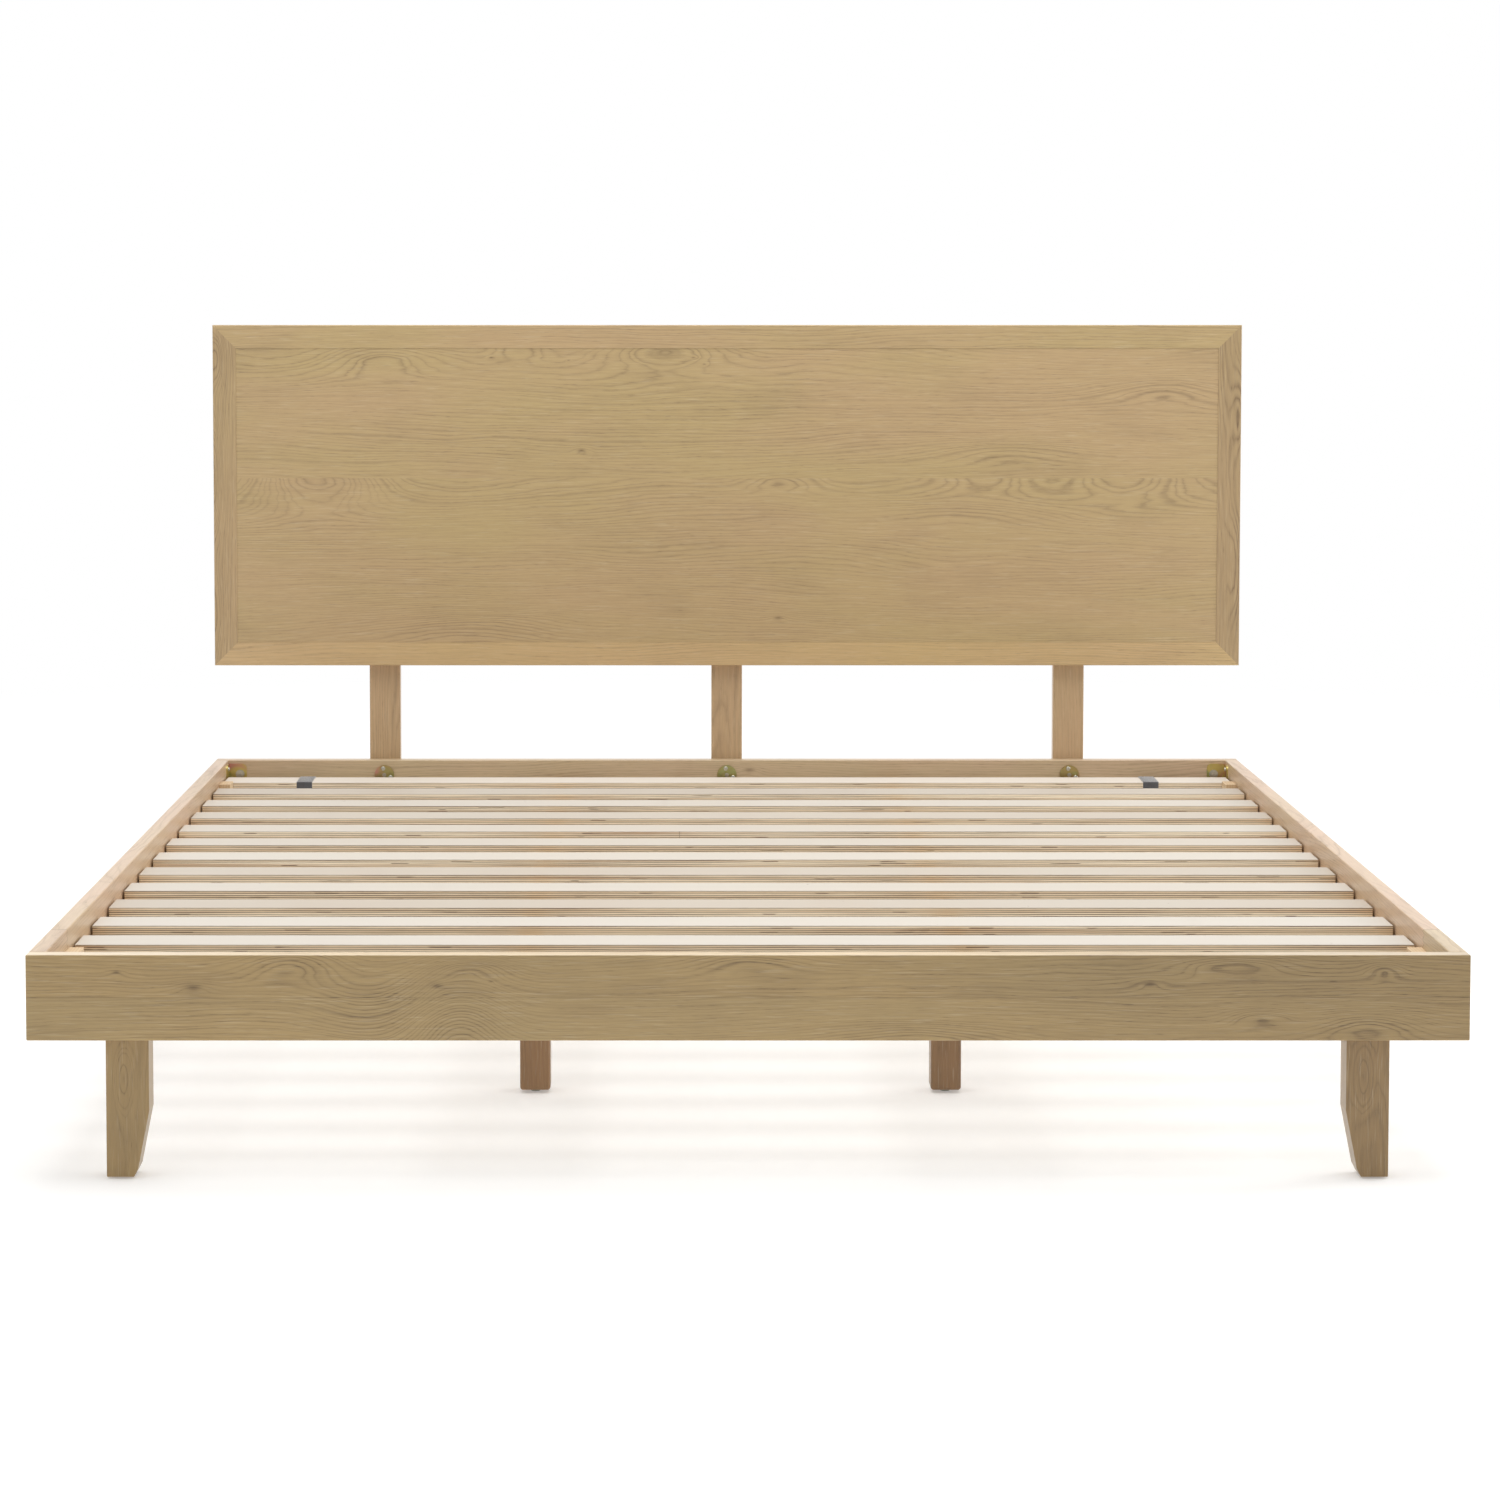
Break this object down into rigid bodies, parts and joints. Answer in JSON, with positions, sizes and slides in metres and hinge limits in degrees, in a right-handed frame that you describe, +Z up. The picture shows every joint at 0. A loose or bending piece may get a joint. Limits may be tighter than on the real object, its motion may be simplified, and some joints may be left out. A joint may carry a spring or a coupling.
{
  "type": "bed frame",
  "caption": "Low oak platform bed frame with a framed headboard on posts, a row of flat slats between plain rails, tapered corner legs and centre legs with screw-in feet.",
  "frame": {"origin": "on the floor, under the middle of the outline of rails and posts", "axes": "+Z up, +Y from the foot rail to the headboard, +X to the right seen from the foot"},
  "size_m": [2, 2.125, 1.17],
  "materials": {
    "headboard_oak": "clear matt oil on fine sanded oak",
    "headboard_border_oak": "clear matt oil on fine sanded oak",
    "post_oak": "clear matt oil",
    "rail_oak": "clear matt oil on fine sanded oak",
    "leg_oak": "clear matt oil",
    "centre_leg_timber": "clear matt lacquer",
    "raw_timber": "unfinished planed softwood",
    "laminated_slat": "unfinished laminated veneer with dark glue lines on its edges",
    "webbing": "woven polypropylene webbing, slight sheen",
    "yellow_zinc": "yellow passivated zinc plating, iridescent",
    "zinc_steel": "zinc plated steel",
    "foot_plastic": "moulded grey plastic",
    "glide_plastic": "dark moulded plastic"
  },
  "bodies": {
    "root": {"beam_hangers": "zinc_steel", "centre_beam_left": "raw_timber", "centre_beam_right": "raw_timber", "centre_leg_bolts": "zinc_steel", "centre_leg_foot_left": "centre_leg_timber", "centre_leg_foot_right": "centre_leg_timber", "centre_leg_head_left": "centre_leg_timber", "centre_leg_head_right": "centre_leg_timber", "corner_bolts": "zinc_steel", "corner_brackets": "yellow_zinc", "corner_leg_foot_left": "leg_oak", "corner_leg_foot_right": "leg_oak", "corner_leg_head_left": "leg_oak", "corner_leg_head_right": "leg_oak", "foot_inserts": "zinc_steel", "foot_rail": "rail_oak", "head_rail": "rail_oak", "headboard_plank_lower": "headboard_oak", "headboard_plank_upper": "headboard_oak", "headboard_strip_bottom": "headboard_border_oak", "headboard_strip_left": "headboard_border_oak", "headboard_strip_right": "headboard_border_oak", "headboard_strip_top": "headboard_border_oak", "ledger_left": "raw_timber", "ledger_right": "raw_timber", "leg_bolts": "zinc_steel", "leg_glides": "glide_plastic", "pan_screws": "zinc_steel", "post_bolts": "zinc_steel", "post_centre": "post_oak", "post_left": "post_oak", "post_nut_plates": "yellow_zinc", "post_right": "post_oak", "side_rail_left": "rail_oak", "side_rail_right": "rail_oak", "stop_blocks": "raw_timber", "wood_screws": "zinc_steel"},
    "slat_roll": {"slat_01": "laminated_slat", "slat_02": "laminated_slat", "slat_03": "laminated_slat", "slat_04": "laminated_slat", "slat_05": "laminated_slat", "slat_06": "laminated_slat", "slat_07": "laminated_slat", "slat_08": "laminated_slat", "slat_09": "laminated_slat", "slat_10": "laminated_slat", "slat_11": "laminated_slat", "slat_12": "laminated_slat", "slat_13": "laminated_slat", "slat_straps": "webbing", "strap_staples": "zinc_steel"},
    "pad_foot_left": {"foot_pad_foot_left": "foot_plastic"},
    "stud_foot_left": {"foot_stud_foot_left": "zinc_steel"},
    "pad_foot_right": {"foot_pad_foot_right": "foot_plastic"},
    "stud_foot_right": {"foot_stud_foot_right": "zinc_steel"},
    "pad_head_left": {"foot_pad_head_left": "foot_plastic"},
    "stud_head_left": {"foot_stud_head_left": "zinc_steel"},
    "pad_head_right": {"foot_pad_head_right": "foot_plastic"},
    "stud_head_right": {"foot_stud_head_right": "zinc_steel"}
  },
  "joints": [
    {"name": "slat_roll_lift", "type": "slide", "parent": "root", "child": "slat_roll", "axis": [0, 0, 1], "range_m": [0, 0.1]},
    {"name": "foot_out_foot_left", "type": "slide", "parent": "root", "child": "pad_foot_left", "axis": [0, 0, -1], "range_m": [0, 0.01]},
    {"name": "foot_turn_foot_left", "type": "hinge", "parent": "pad_foot_left", "child": "stud_foot_left", "pos_m": [-0.317, -0.4775, 0.02], "axis": [0, 0, -1], "range_deg": [0, 2880]},
    {"name": "foot_out_foot_right", "type": "slide", "parent": "root", "child": "pad_foot_right", "axis": [0, 0, -1], "range_m": [0, 0.01]},
    {"name": "foot_turn_foot_right", "type": "hinge", "parent": "pad_foot_right", "child": "stud_foot_right", "pos_m": [0.317, -0.4775, 0.02], "axis": [0, 0, -1], "range_deg": [0, 2880]},
    {"name": "foot_out_head_left", "type": "slide", "parent": "root", "child": "pad_head_left", "axis": [0, 0, -1], "range_m": [0, 0.01]},
    {"name": "foot_turn_head_left", "type": "hinge", "parent": "pad_head_left", "child": "stud_head_left", "pos_m": [-0.317, 0.4775, 0.02], "axis": [0, 0, -1], "range_deg": [0, 2880]},
    {"name": "foot_out_head_right", "type": "slide", "parent": "root", "child": "pad_head_right", "axis": [0, 0, -1], "range_m": [0, 0.01]},
    {"name": "foot_turn_head_right", "type": "hinge", "parent": "pad_head_right", "child": "stud_head_right", "pos_m": [0.317, 0.4775, 0.02], "axis": [0, 0, -1], "range_deg": [0, 2880]}
  ],
  "couplings": [
    {"joint": "foot_turn_foot_left", "follows": "foot_out_foot_left", "rad_per_m": 5026},
    {"joint": "foot_turn_foot_right", "follows": "foot_out_foot_right", "rad_per_m": 5026},
    {"joint": "foot_turn_head_left", "follows": "foot_out_head_left", "rad_per_m": 5026},
    {"joint": "foot_turn_head_right", "follows": "foot_out_head_right", "rad_per_m": 5026}
  ]
}
